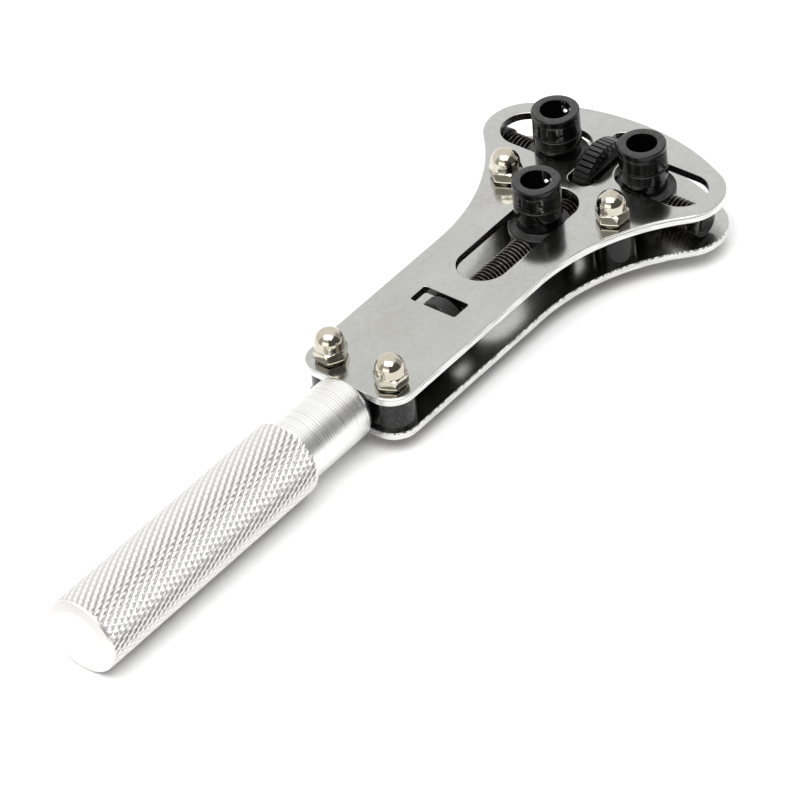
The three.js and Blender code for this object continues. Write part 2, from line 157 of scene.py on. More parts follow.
def plate_outline():
    """Straight waist, concave flare, a lobe round each cross slot, shallow front arc."""
    drop = WAIST_HALF - CROSS_OUTER
    flare_radius = (FLARE_X**2 + drop**2 - TIP_RADIUS**2) / (2 * (TIP_RADIUS - drop))
    front_radius = (NOSE_X**2 + CROSS_OUTER**2 - TIP_RADIUS**2) / (2 * (NOSE_X - TIP_RADIUS))
    flare_y = WAIST_HALF + flare_radius
    front_x = NOSE_X - front_radius
    flare_angle = degrees(atan2(flare_y - CROSS_OUTER, -FLARE_X))
    front_angle = degrees(atan2(CROSS_OUTER, -front_x))
    half = arc((front_x, 0), front_radius, 0, front_angle, 1)
    half += arc((0, CROSS_OUTER), TIP_RADIUS, front_angle, 180 - flare_angle, 3)
    half += arc((FLARE_X, flare_y), flare_radius, -flare_angle, -90, 1)
    half += arc(REAR_BOLT[:2], CORNER_RADIUS, 90, 180, 4)
    return drop_doubles(half + [(x, -y) for x, y in half[::-1]])


def drop_doubles(points, reach=1e-4):
    kept = []
    for p in points:
        if not kept or dist(p, kept[-1]) > reach:
            kept.append(p)
    if dist(kept[0], kept[-1]) < reach:
        kept.pop()
    return kept


def plate_holes():
    """Wheel windows and bolt holes, in both plates."""
    holes = []
    for side in (1, -1):
        for bolt in (REAR_BOLT, FRONT_BOLT):
            holes.append(arc((bolt[0], side * bolt[1]), BOLT_HOLE, 0, 360, 10))
    return holes + [rounded_window(**CROSS_WINDOW), rounded_window(**CENTRE_WINDOW)]


def jaw_slots():
    """One slot for each jaw, in the upper plate only."""
    slots = [stadium((LONG_SLOT_REAR, 0), (LONG_SLOT_FRONT, 0), SLOT_HALF)]
    return slots + [stadium((0, s * CROSS_INNER), (0, s * CROSS_OUTER), SLOT_HALF) for s in (1, -1)]


# ---- mesh builders
class Shape:
    """Points and faces that grow piece by piece, in the working frame."""

    def __init__(self):
        self.points = []
        self.faces = []

    def add(self, points, faces):
        first = len(self.points)
        self.points += [tuple(p) for p in points]
        self.faces += [tuple(i + first for i in face) for face in faces]
        return first

    def ring(self, points):
        """Adds points alone and returns their indices."""
        first = self.add(points, [])
        return list(range(first, len(self.points)))

    def join(self, rings, closed=False):
        """Adds faces from each ring of indices to the next; closed joins the last to the first."""
        for low, high in zip(rings, rings[1:] + rings[:1] * closed):
            for k in range(len(low)):
                n = (k + 1) % len(low)
                corners = tuple(dict.fromkeys((low[k], low[n], high[n], high[k])))
                if len(corners) > 2:
                    self.faces.append(corners)

    def moved(self, offset):
        """A copy, moved."""
        copy = Shape()
        copy.add(np.array(self.points) + offset, self.faces)
        return copy


def along_axis(axis, radius, angle, height):
    """A point at this radius, angle and height about the X, Y or Z axis through the origin."""
    a, b = radius * cos(angle), radius * sin(angle)
    return {"x": (height, a, b), "y": (b, height, a), "z": (a, b, height)}[axis]


def fillet(corners, steps=4):
    """(radius, height, rounding) corners as (radius, height) points with each corner rounded."""
    path = []
    last = len(corners) - 1
    for i, (r, h, rounding) in enumerate(corners):
        here = np.array([r, h], float)
        if rounding <= 0 or i in (0, last):
            path.append((r, h))
            continue
        before = np.array(corners[i - 1][:2], float) - here
        after = np.array(corners[i + 1][:2], float) - here
        before /= np.linalg.norm(before)
        after /= np.linalg.norm(after)
        half = acos(np.clip(before @ after, -1, 1)) / 2
        if half > radians(85):
            path.append((r, h))
            continue
        reach = rounding / tan(half)
        middle = here + (before + after) / np.linalg.norm(before + after) * rounding / sin(half)
        start = here + before * reach - middle
        end = here + after * reach - middle
        turn = atan2(start[0] * end[1] - start[1] * end[0], start @ end)
        for k in range(steps + 1):
            c, s = cos(turn * k / steps), sin(turn * k / steps)
            path.append((middle[0] + c * start[0] - s * start[1], middle[1] + s * start[0] + c * start[1]))
    return path


def mirrored(half):
    """Corners for fillet from their upper half, the lower half being its mirror image."""
    return [(radius, -height, rounding) for radius, height, rounding in half[::-1]] + half


def turned(profile, axis, segments=96, closed=False):
    """Turned shape from (radius, height) points, from low to high on the outside."""
    shape = Shape()
    angles = [FULL_TURN * k / segments for k in range(segments)]
    rings = []
    for radius, height in profile:
        if radius < 1e-6:
            rings.append(shape.ring([along_axis(axis, 0, 0, height)]) * segments)
        else:
            rings.append(shape.ring([along_axis(axis, radius, angle, height) for angle in angles]))
    shape.join(rings, closed)
    return shape


def rod(radius, low, high, axis, segments):
    return turned([(0, low), (radius, low), (radius, high), (0, high)], axis, segments)


def signed_area(points):
    xs, ys = np.array(points).T
    return float(np.sum(xs * np.roll(ys, -1) - np.roll(xs, -1) * ys) / 2)


def inset_loop(points, distance):
    """A closed loop moved to its left by this distance."""
    p = np.array(points, float)
    ahead = np.roll(p, -1, 0) - p
    ahead /= np.linalg.norm(ahead, axis=1)[:, None]
    left = np.stack([-ahead[:, 1], ahead[:, 0]], 1)
    both = left + np.roll(left, 1, 0)
    both /= np.linalg.norm(both, axis=1)[:, None]
    stretch = 1 / np.clip(np.sum(both * left, axis=1), 0.5, 1)
    return p + both * (distance * stretch)[:, None]


def inside_loop(point, loop):
    """True if the point lies inside a closed loop."""
    x, y = point
    inside = False
    for (x0, y0), (x1, y1) in zip(loop, loop[1:] + loop[:1]):
        if (y0 > y) != (y1 > y) and x < x0 + (y - y0) * (x1 - x0) / (y1 - y0):
            inside = not inside
    return inside


def cap_faces(loops, indices):
    """Triangles that fill the first loop except for the loops inside it, facing up."""
    flat = [Vector(p) for loop in loops for p in loop]
    index = [i for ring in indices for i in ring]
    edges = []
    first = 0
    for loop in loops:
        count = len(loop)
        edges += [(first + k, first + (k + 1) % count) for k in range(count)]
        first += count
    made = delaunay_2d_cdt(flat, edges, [], 0, 1e-7)
    points, triangles, origins = made[0], made[2], made[3]
    faces = []
    for triangle in triangles:
        a, b, c = (points[i] for i in triangle)
        middle = ((a.x + b.x + c.x) / 3, (a.y + b.y + c.y) / 3)
        if not inside_loop(middle, loops[0]) or any(inside_loop(middle, hole) for hole in loops[1:]):
            continue
        corners = [index[origins[i][0]] for i in triangle]
        up = (b - a).cross(c - a) > 0
        faces.append(tuple(corners if up else corners[::-1]))
    return faces


def slab(outline, holes, rings):
    """Flat plate with holes. rings are (inset from the edge, height), from the top face down."""
    shape = Shape()
    loops = [outline if signed_area(outline) > 0 else outline[::-1]]
    loops += [hole if signed_area(hole) < 0 else hole[::-1] for hole in map(drop_doubles, holes)]
    ends = {0: ([], []), len(rings) - 1: ([], [])}
    for loop in loops:
        levels = []
        for level, (inset, height) in enumerate(rings):
            flat = [tuple(p) for p in inset_loop(loop, inset)]
            levels.append(shape.ring([(x, y, height) for x, y in flat]))
            if level in ends:
                ends[level][0].append(flat)
                ends[level][1].append(levels[-1])
        for high, low in zip(levels, levels[1:]):
            shape.join([low, high])
    shape.faces += cap_faces(*ends[0])
    shape.faces += [face[::-1] for face in cap_faces(*ends[len(rings) - 1])]
    return shape


def rolled_edge(top, bottom, roll=0.42, depth=0.3, burr=0.1, steps=6):
    """Section of a stamped edge: a soft roll at the first face, a small burr at the second."""
    side = 1 if top > bottom else -1
    rings = []
    for k in range(steps + 1):
        t = pi / 2 * k / steps
        rings.append((roll * (1 - sin(t)) ** 1.6, top - side * depth * (1 - cos(t))))
    rings += [(0.0, bottom + side * burr), (burr * 0.3, bottom + side * burr * 0.3), (burr, bottom)]
    return rings if side > 0 else rings[::-1]


def thread_profile(major, minor):
    """One turn of a metric thread as (share of the pitch, radius)."""
    return [
        (0.00, major - 0.04), (0.03, major), (0.10, major), (0.13, major - 0.04),
        (0.42, minor + 0.05), (0.48, minor), (0.64, minor), (0.70, minor + 0.05),
    ]


def threaded_bar(axis, low, high, major, pitch=1.0, hand=1, points=40, tip=0.5):
    """Threaded bar with real helical flanks, cut square at both ends and bevelled there."""
    minor = major - 0.6134 * pitch
    profile = thread_profile(major, minor)
    width = len(profile)
    first_turn = floor(low / pitch) - 2
    turns = ceil((high - low) / pitch) + 4
    shape = Shape()
    for k in range(turns * points + 1):
        angle = hand * FULL_TURN * k / points
        for share, radius in profile:
            height = (first_turn + k / points + share) * pitch
            limit = minor - 0.1 + max(0.0, min(height - low, high - height) / tip) * (major - minor + 0.1)
            height_in = min(max(height, low - 2 * pitch), high + 2 * pitch)
            shape.points.append(along_axis(axis, min(radius, limit), angle, height_in))
    for k in range(turns * points):
        for j in range(width):
            a = k * width + j
            b = a + width
            if j + 1 < width:
                c, d = b + 1, a + 1
            else:
                after = k + points
                if after + 1 > turns * points:
                    continue
                c, d = (after + 1) * width, after * width
            shape.faces.append((a, b, c, d) if hand > 0 else (a, d, c, b))
    return square_ends(shape, axis, low, high)


def square_ends(shape, axis, low, high):
    """Cuts an open tube off square at two heights on its axis and closes both ends."""
    mesh = bmesh.new()
    corners = [mesh.verts.new(p) for p in shape.points]
    for face in shape.faces:
        mesh.faces.new([corners[i] for i in face])
    normal = Vector({"x": (1, 0, 0), "y": (0, 1, 0), "z": (0, 0, 1)}[axis])
    for height, direction in ((high, normal), (low, -normal)):
        geometry = mesh.verts[:] + mesh.edges[:] + mesh.faces[:]
        cut = bmesh.ops.bisect_plane(
            mesh, geom=geometry, dist=1e-6, plane_co=normal * height, plane_no=direction,
            clear_outer=True,
        )
        edges = [e for e in cut["geom_cut"] if isinstance(e, bmesh.types.BMEdge)]
        bmesh.ops.contextual_create(mesh, geom=edges)
    bmesh.ops.remove_doubles(mesh, verts=mesh.verts, dist=1e-4)
    bmesh.ops.recalc_face_normals(mesh, faces=mesh.faces)
    mesh.verts.index_update()
    closed = Shape()
    closed.add([v.co[:] for v in mesh.verts], [[v.index for v in f.verts] for f in mesh.faces])
    mesh.free()
    return closed


# ---- from shapes to pieces
def to_mesh(shape, name):
    mesh = bpy.data.meshes.new(name)
    points = (np.array(shape.points) + DATUM) * MM
    mesh.from_pydata(points.tolist(), [], shape.faces)
    mesh.validate()
    return mesh


def new_object(name, data):
    made = bpy.data.objects.new(name, data)
    bpy.context.scene.collection.objects.link(made)
    return made


def boolean(shape, other, operation="DIFFERENCE"):
    """shape cut by, or joined with, another closed shape."""
    base = new_object("boolean_base", to_mesh(shape, "boolean_base"))
    tool = new_object("boolean_tool", to_mesh(other, "boolean_tool"))
    for thing in (base, tool):
        thing.scale = (1 / MM,) * 3
    modifier = base.modifiers.new("cut", "BOOLEAN")
    modifier.object = tool
    modifier.operation = operation
    modifier.solver = "EXACT"
    bpy.context.view_layer.update()
    result = base.evaluated_get(bpy.context.evaluated_depsgraph_get()).to_mesh()
    made = Shape()
    points = [np.array(v.co) / MM - DATUM for v in result.vertices]
    made.add(points, [tuple(p.vertices) for p in result.polygons])
    for thing in (base, tool):
        data = thing.data
        bpy.data.objects.remove(thing)
        bpy.data.meshes.remove(data)
    return made


def place(node, shape, material, sharp=32, weighted=True, attributes=None, flex=None):
    """A finished piece that stands for a CAD node and rides on its body.

    flex is (other body, start, end): with it the piece is fixed where it stands instead of riding on a body;
    the other body and the two points are not used.
    """
    mesh = to_mesh(shape, node + "_look")
    piece = new_object(node + "_look", mesh)
    mesh.materials.append(material)
    mesh.shade_smooth()
    mesh.set_sharp_from_angle(angle=radians(sharp))
    for name, values in (attributes or {}).items():
        mesh.attributes.new(name, "FLOAT", "POINT").data.foreach_set("value", values)
    if weighted:
        modifier = piece.modifiers.new("face weighted normals", "WEIGHTED_NORMAL")
        modifier.keep_sharp = True
    if flex:
        other, start, end = flex
        start, end = ((np.array(point) + DATUM) * MM for point in (start, end))
        tuple(start)
        tuple(end)
        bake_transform(piece)
    else:
        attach(piece, BODY_OF[node])
    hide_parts(node)
    return piece


# ---- materials
class Graph:
    """A node tree, with short calls for the nodes used here. Lengths are in mm."""

    def __init__(self, owner):
        owner.use_nodes = True
        self.tree = owner.node_tree
        self.tree.nodes.clear()
        self.coords = self.node("ShaderNodeTexCoord").outputs
        self.place = self.vector("SCALE", self.coords["Object"], scale=1 / MM)

    def node(self, kind, **settings):
        made = self.tree.nodes.new(kind)
        for key, value in settings.items():
            setattr(made, key, value)
        return made

    def feed(self, socket, value):
        if isinstance(value, bpy.types.NodeSocket):
            self.tree.links.new(value, socket)
        elif isinstance(value, (tuple, list)) and len(value) == 3 and socket.type == "RGBA":
            socket.default_value = (*value, 1.0)
        else:
            socket.default_value = value

    def end(self, kind, shader, **values):
        """Feeds a shader's inputs, given by name with _ for a space, and links it to the output."""
        for key, value in values.items():
            self.feed(shader.inputs[key.replace("_", " ")], value)
        self.tree.links.new(shader.outputs[0], self.node(kind).inputs["Surface"])

    def out(self, kind, inputs, output=0, **settings):
        """One output of a new node whose inputs are fed by name or number."""
        made = self.node(kind, **settings)
        for socket, value in inputs.items():
            self.feed(made.inputs[socket], value)
        return made.outputs[output]

    def vector(self, operation, a, b=(0, 0, 0), scale=1.0, output="Vector"):
        return self.out("ShaderNodeVectorMath", {0: a, 1: b, 3: scale}, output, operation=operation)

    def math(self, operation, a, b=0.0):
        return self.out("ShaderNodeMath", {0: a, 1: b}, operation=operation)

    def times(self, a, b):
        return self.math("MULTIPLY", a, b)

    def remap(self, value, low, high, to_low=0.0, to_high=1.0):
        inputs = dict(enumerate((value, low, high, to_low, to_high)))
        return self.out("ShaderNodeMapRange", inputs, interpolation_type="SMOOTHSTEP")

    def mix(self, share, a, b):
        """Colour between a and b."""
        return self.out("ShaderNodeMix", {0: share, 6: a, 7: b}, 2, data_type="RGBA")

    def blend(self, share, a, b):
        """Number between a and b."""
        return self.out("ShaderNodeMix", {0: share, 2: a, 3: b})

    def noise(self, size, detail=2.0, stretch=(1, 1, 1), distortion=0.0, offset=(0, 0, 0)):
        """Noise whose blobs are about this many millimetres across."""
        place = self.vector("ADD", self.vector("MULTIPLY", self.place, stretch), offset)
        inputs = {"Vector": place, "Scale": 1 / size, "Detail": detail, "Distortion": distortion}
        return self.out("ShaderNodeTexNoise", inputs, "Fac")

    def specks(self, spacing, radius, share=1.0):
        """1 inside small round specks. share is how many of the cells have one."""
        made = self.node("ShaderNodeTexVoronoi")
        self.feed(made.inputs["Vector"], self.place)
        self.feed(made.inputs["Scale"], 1 / spacing)
        inside = self.remap(made.outputs["Distance"], radius / spacing * 0.6, radius / spacing, 1, 0)
        chosen = self.math("LESS_THAN", self.split(made.outputs["Color"])[0], share)
        return self.times(inside, chosen)

    def split(self, vector):
        made = self.node("ShaderNodeSeparateXYZ")
        self.feed(made.inputs[0], vector)
        return made.outputs

    def band(self, value, low, high, soft):
        """1 between two values, 0 outside them."""
        rise = self.remap(value, low - soft, low + soft)
        return self.times(rise, self.remap(value, high - soft, high + soft, 1.0, 0.0))

    def nearness(self, point, radius):
        """1 at a point in the working frame, falling to 0 at this radius."""
        point = tuple(np.array(point) + DATUM)
        distance = self.vector("DISTANCE", self.place, point, output="Value")
        return self.remap(distance, 0.0, radius, 1.0, 0.0)

    def bump(self, height, depth, normal=None):
        """Relief of this depth in millimetres."""
        inputs = {"Strength": 1.0, "Distance": depth * MM, "Height": height}
        if normal is not None:
            inputs["Normal"] = normal
        return self.out("ShaderNodeBump", inputs, "Normal")

    def attribute(self, name):
        return self.node("ShaderNodeAttribute", attribute_name=name).outputs["Fac"]

    def facing_up(self):
        """How much the surface faces up or down in the piece's own frame, 0 to 1."""
        return self.math("ABSOLUTE", self.split(self.coords["Normal"])[2])


class Finish(Graph):
    """The node tree of one material."""

    def __init__(self, name):
        self.material = bpy.data.materials.new(name)
        super().__init__(self.material)

    def done(self, **values):
        """Feeds the Principled shader and returns the material."""
        self.end("ShaderNodeOutputMaterial", self.node("ShaderNodeBsdfPrincipled"), **values)
        return self.material


def plate_material():
    """Plated sheet: soft mirror with smudges and fine grain, streaky outer edge with a painted shade line
    under its roll, hole and slot walls darkened as painted shade.
    """
    g = Finish("bright_plated_sheet")
    flat = g.remap(g.facing_up(), 0.5, 0.9)
    smudge = g.noise(14, 3, stretch=(1, 1.6, 1), distortion=0.5)
    grain = g.noise(0.32, 3)
    x, y, z = g.split(g.place)
    colour = g.mix(g.remap(x, *PLATE_FADE), (0.475, 0.478, 0.452), (0.505, 0.505, 0.49))
    colour = g.mix(g.times(g.remap(smudge, 0.35, 0.75), 0.5), colour, (0.56, 0.56, 0.545))
    mottle = g.math("ADD", g.remap(grain, 0.35, 0.7), g.remap(g.noise(1.4, 4), 0.4, 0.75))
    colour = g.mix(g.times(mottle, 0.3), colour, (0.40, 0.40, 0.375))
    for x, y, radius, share in SMUDGES:
        near = g.nearness((x, y, FACE_Z), radius)
        mark = g.times(near, g.remap(g.noise(1.1, 5, offset=(x, y, 0)), 0.4, 0.72))
        colour = g.mix(g.times(mark, share), colour, (0.42, 0.395, 0.345))
    colour = g.mix(g.times(g.specks(5.6, 0.11, 0.2), 0.7), colour, (0.14, 0.13, 0.12))
    streaks = g.noise(0.5, 3, stretch=(0.14, 0.14, 2.2))
    edge = g.mix(g.remap(streaks, 0.35, 0.65), (0.58, 0.58, 0.565), (0.78, 0.78, 0.765))
    # painted shade: a dark line along the crease just below the rolled edge, broken up by noise
    crease_shade = g.times(g.band(z, *CREASE_SHADE_LINE, 0.05), g.remap(g.noise(9, 2), 0.35, 0.6))
    torn = g.band(z, *BURR_LINE, 0.08)
    burr = g.times(torn, g.remap(g.noise(0.55, 3, stretch=(1, 1, 0.5)), 0.44, 0.56))
    # marks: the painted crease shade together with the torn edge's own dark burr
    marks = g.math("MAXIMUM", g.times(crease_shade, 0.8), g.times(burr, 0.9))
    edge = g.mix(marks, edge, (0.04, 0.04, 0.038))
    # painted shade: the walls of the holes and slots are darkened as if in shade
    edge = g.mix(g.attribute("hole_wall_shade"), edge, (0.15, 0.15, 0.145))
    colour = g.mix(flat, edge, colour)
    face_rough = g.math("ADD", g.remap(smudge, 0.3, 0.8, 0.10, 0.14), g.times(grain, 0.07))
    face_rough = g.times(face_rough, g.remap(z, DATUM[2] - 1, DATUM[2] + 1, 1.4, 1.0))
    edge_rough = g.remap(streaks, 0.3, 0.7, 0.22, 0.34)
    rough = g.blend(flat, edge_rough, face_rough)
    normal = g.bump(g.noise(3.4, 1), 0.0018)
    normal = g.bump(grain, 0.0016, normal)
    normal = g.bump(g.times(streaks, g.math("SUBTRACT", 1.0, flat)), 0.008, normal)
    return g.done(Metallic=1.0, Base_Color=colour, Roughness=rough, Normal=normal)


PLATE_FADE = (DATUM[0] + REAR_X, DATUM[0] + 5)  # from the greyer rear to the brighter head
CREASE_SHADE_LINE = (DATUM[2] + FACE_Z - 0.62, DATUM[2] + FACE_Z - 0.42)  # painted shade line, along the crease below the rolled edge
BURR_LINE = (DATUM[2] - GAP_HALF - 0.4, DATUM[2] - GAP_HALF + 0.2)  # lower plate's torn edge
# places with finger smudges on the plates: x, y, radius, strength
SMUDGES = ((-66, 4, 11, 0.55), (-79, 0, 5, 0.4), (-24, 13, 5, 0.6), (-44, -10, 8, 0.3), (2, -21, 6, 0.25))


def nickel_material():
    g = Finish("warm_nickel")
    tone = g.noise(2.5, 3)
    colour = g.mix(g.remap(tone, 0.35, 0.7), (0.57, 0.53, 0.445), (0.50, 0.46, 0.375))
    colour = g.mix(g.times(g.specks(1.6, 0.09, 0.3), 0.6), colour, (0.2, 0.16, 0.12))
    rough = g.remap(g.noise(0.8, 3), 0.3, 0.7, 0.06, 0.13)
    return g.done(Metallic=1.0, Base_Color=colour, Roughness=rough, Normal=g.bump(g.noise(0.6, 2), 0.0018))


def black_material():
    """Glossy black oxide: worn grey along edges and on faces that look up."""
    g = Finish("black_oxide")
    z = g.split(g.coords["Normal"])[2]
    rim = g.remap(z, 0.93, 0.99)
    pointy = g.node("ShaderNodeNewGeometry").outputs["Pointiness"]
    edge = g.times(g.remap(pointy, 0.53, 0.6), g.remap(g.noise(0.7, 4), 0.42, 0.62))
    base = g.mix(g.remap(g.noise(3.0, 3), 0.3, 0.7), (0.0015, 0.0015, 0.0017), (0.0035, 0.0034, 0.0033))
    worn = g.mix(g.remap(g.noise(0.5, 4), 0.35, 0.7), (0.022, 0.022, 0.023), (0.045, 0.045, 0.043))
    colour = g.mix(rim, base, worn)
    colour = g.mix(g.times(edge, 0.85), colour, (0.15, 0.147, 0.138))
    side_rough = g.remap(g.noise(1.4, 3), 0.3, 0.7, 0.15, 0.23)
    rough = g.blend(rim, side_rough, 0.38)
    normal = g.bump(g.noise(0.9, 2), 0.0035)
    return g.done(Specular_IOR_Level=0.36, Base_Color=colour, Roughness=rough, Normal=normal)


def thread_material():
    """Oiled black steel, brown and brighter on the worn crests."""
    g = Finish("oiled_thread_steel")
    dark = g.mix(g.noise(1.5, 3), (0.003, 0.003, 0.003), (0.009, 0.008, 0.007))
    worn = g.mix(g.remap(g.noise(0.7, 3), 0.35, 0.7), (0.13, 0.113, 0.092), (0.33, 0.30, 0.26))
    colour = g.mix(g.remap(g.attribute("crest"), 0.72, 0.98), dark, worn)
    rough = g.remap(g.noise(0.6, 3), 0.3, 0.7, 0.24, 0.38)
    return g.done(Metallic=0.85, Base_Color=colour, Roughness=rough, Normal=g.bump(g.noise(0.25, 2), 0.003))


def aluminium_material():
    """Bare aluminium: fine turning marks, painted shade in the knurl's and collar's grooves and on the end
    cone's upper part, a few dark specks.
    """
    g = Finish("bare_aluminium")
    colour = g.mix(g.noise(5, 3), (0.80, 0.80, 0.785), (0.85, 0.85, 0.835))
    # painted shade from the cut attribute: darker in grooves, and on the upper part of the end cone and the
    # collar's grooves
    colour = g.mix(g.times(g.remap(g.attribute("cut"), 0.3, 1.0), 0.65), colour, (0.55, 0.535, 0.52))
    colour = g.mix(g.times(g.specks(6.5, 0.14, 0.3), 0.8), colour, (0.12, 0.10, 0.09))
    rings = g.noise(0.16, 2, stretch=(1, 0.02, 0.02))
    knurled = g.remap(g.split(g.place)[0], *KNURL_SPAN, 1.0, 0.0)
    rough = g.blend(knurled, g.remap(rings, 0.3, 0.7, 0.3, 0.4), 0.4)
    return g.done(Metallic=1.0, Base_Color=colour, Roughness=rough, Normal=g.bump(rings, 0.004))


# where the knurl's duller finish gives way to the collar's, along X in the frame's own coordinates
KNURL_SPAN = (DATUM[0] - 105.4, DATUM[0] - 105.0)


def ball_material():
    g = Finish("bearing_steel")
    colour = g.mix(g.noise(0.5, 2), (0.70, 0.70, 0.71), (0.78, 0.78, 0.78))
    return g.done(Metallic=1.0, Base_Color=colour, Roughness=g.remap(g.noise(0.3, 2), 0.3, 0.7, 0.06, 0.12))


PLATED = plate_material()
NICKEL = nickel_material()
BLACK = black_material()
THREAD_STEEL = thread_material()
ALUMINIUM = aluminium_material()
BALL_STEEL = ball_material()

# ---- plates
outline = plate_outline()
for name, holes, face_z, gap_z in (
    ("top_plate", plate_holes() + jaw_slots(), FACE_Z, GAP_HALF),
    ("bottom_plate", plate_holes(), -FACE_Z, -GAP_HALF),
):
    section = rolled_edge(face_z, gap_z)
    plate = slab(outline, holes, section)
    outside = len(outline) * len(section)
    # 1 on the walls of the holes and slots, which the plate material darkens as painted shade
    hole_shade_flags = [0.0] * outside + [1.0] * (len(plate.points) - outside)
    place(name, plate, PLATED, attributes={"hole_wall_shade": hole_shade_flags})


# ---- nuts, bolts and spacers
NUT_FLATS = 6.45
NUT_CORNER = 3.66  # corner radius, a little worn
NUT_FOOT = (2.75, 0.42, 0.2)  # bearing face radius, its height, slope of the lower bevel
NUT_SHOULDER = (3.12, 2.86, 0.55)  # where the dome's neck meets the upper bevel, and its slope
NUT_EDGE = 0.065  # worn edges round the flats
NUT_HEM = (0.035, 0.13, 0.34)  # lower edge of the flats: its inset, and where it starts and ends
NUT_DOME_RADIUS = 3.12
NUT_DOME_CENTRE = 3.76
NUT_BORE, NUT_DEPTH = 2.1, 5.0
NUT_CORNERS = {"rear_left": 29, "rear_right": 55, "front_left": 54, "front_right": 55}


def hexagon_radius(angle):
    """Radius of the hexagon at an angle in degrees from a corner."""
    from_flat = (angle % 60) - 30
    return min(NUT_FLATS / 2 / cos(radians(from_flat)), NUT_CORNER)


def cap_nut(corner_angle):
    """Acorn nut standing on Z = 0: hexagon bevelled above and below, neck, dome, blind bore."""
    spread = 12
    angles = [60 * k / spread for k in range(6 * spread)]
    foot, foot_z, foot_slope = NUT_FOOT
    shoulder, shoulder_z, shoulder_slope = NUT_SHOULDER
    shape = Shape()

    def ring(radius_and_height):
        points = []
        for angle in angles:
            radius, height = radius_and_height(hexagon_radius(angle))
            points.append(along_axis("z", radius, radians(angle + corner_angle), height))
        return shape.ring(points)

    def level(radius, height):
        return ring(lambda hexagon: (radius, height))

    chain = [shape.ring([(0, 0, NUT_DEPTH)]) * len(angles)]
    chain += [level(NUT_BORE, NUT_DEPTH - 0.5), level(NUT_BORE, 0.25), level(NUT_BORE + 0.25, 0)]
    chain += [level(foot - 0.06, 0), level(foot, 0.05), level(foot, foot_z)]
    hem, hem_low, hem_high = NUT_HEM
    for out, up in ((3 * hem, 0.0), (hem, hem_low), (0.0, hem_high)):
        chain.append(ring(lambda r: (r - out, foot_z + foot_slope * (r - foot) + up)))
    for out, down in ((0.0, NUT_EDGE), (NUT_EDGE, 0.0)):
        chain.append(ring(lambda r: (r - out, shoulder_z - shoulder_slope * (r - shoulder) - down)))
    chain += [level(shoulder + 0.07, shoulder_z - 0.02), level(shoulder + 0.02, shoulder_z + 0.05)]
    chain += [level(NUT_DOME_RADIUS, shoulder_z + 0.14)]
    steps = 16
    for k in range(steps):
        lift = pi / 2 * k / steps
        chain.append(level(NUT_DOME_RADIUS * cos(lift), NUT_DOME_CENTRE + NUT_DOME_RADIUS * sin(lift)))
    chain.append(shape.ring([(0, 0, NUT_DOME_CENTRE + NUT_DOME_RADIUS)]) * len(angles))
    shape.join(chain)
    return shape


BOLT_RADIUS = 1.9
BOLT_HEAD = (3.7, 2.1, 0.5, 0.9)  # radius, height, half the slot's width, slot's depth
BOLT_LENGTH = 2 * FACE_Z + NUT_DEPTH - 0.6


def box_shape(low, high):
    (x0, y0, z0), (x1, y1, z1) = low, high
    shape = Shape()
    corners = [(x, y, z) for z in (z0, z1) for y in (y0, y1) for x in (x0, x1)]
    shape.add(corners, [(0, 2, 3, 1), (4, 5, 7, 6), (0, 1, 5, 4), (2, 6, 7, 3), (0, 4, 6, 2), (1, 3, 7, 5)])
    return shape


def frame_bolt():
    """Pan-head M4 bolt, head below Z = 0."""
    radius, height, width, depth = BOLT_HEAD
    head = fillet([
        (0, -height, 0), (radius * 0.62, -height, 0.8), (radius * 0.9, -height * 0.75, 0.9),
        (radius, -height * 0.35, 0.5), (radius, 0, 0.15), (BOLT_RADIUS, 0, 0.1),
        (BOLT_RADIUS, BOLT_LENGTH - 6.5, 0), (BOLT_RADIUS - 0.3, BOLT_LENGTH - 6.2, 0),
        (0, BOLT_LENGTH - 6.2, 0),
    ], 5)
    plain = turned(head, "z", 64)
    slotted = boolean(plain, box_shape((-5, -width, -height - 1), (5, width, depth - height)))
    thread = threaded_bar("z", BOLT_LENGTH - 6.6, BOLT_LENGTH, BOLT_RADIUS, 0.7, points=32, tip=0.4)
    return boolean(slotted, thread, "UNION")


bolt_shape = frame_bolt()
for name, corner in NUT_CORNERS.items():
    x, y, _ = centre_of("cap_nut_" + name)
    place("cap_nut_" + name, cap_nut(corner).moved((x, y, FACE_Z)), NICKEL, sharp=24)
    place("frame_bolt_" + name, bolt_shape.moved((x, y, -FACE_Z)), NICKEL)


def ring_shape(inner, outer, low, high, axis, edge=0.2):
    """Ring with rounded outside edges and bevelled inside edges."""
    corners = [(inner, low + edge, 0), (inner + edge, low, 0), (outer, low, edge), (outer, high, edge),
               (inner + edge, high, 0), (inner, high - edge, 0)]
    return turned(fillet(corners), axis, closed=True)


for name in ("front_left", "front_right"):
    x, y, _ = centre_of("spacer_" + name)
    spacer = ring_shape(BOLT_HOLE, SPACER_RADIUS, -GAP_HALF, GAP_HALF, "z")
    place("spacer_" + name, spacer.moved((x, y, 0)), BLACK)

# ---- handle block and stud
STUD_RADIUS = 3.0
STUD_HOLE = STUD_RADIUS + 0.2
STUD_LOW, STUD_HIGH = local_box("handle_stud")
JOURNAL_RADIUS = 1.9
SCREW_REAR = local_box("centre_screw")[0][0]
RUNNING_GAP = 0.1
LUG_HALF = 5.0


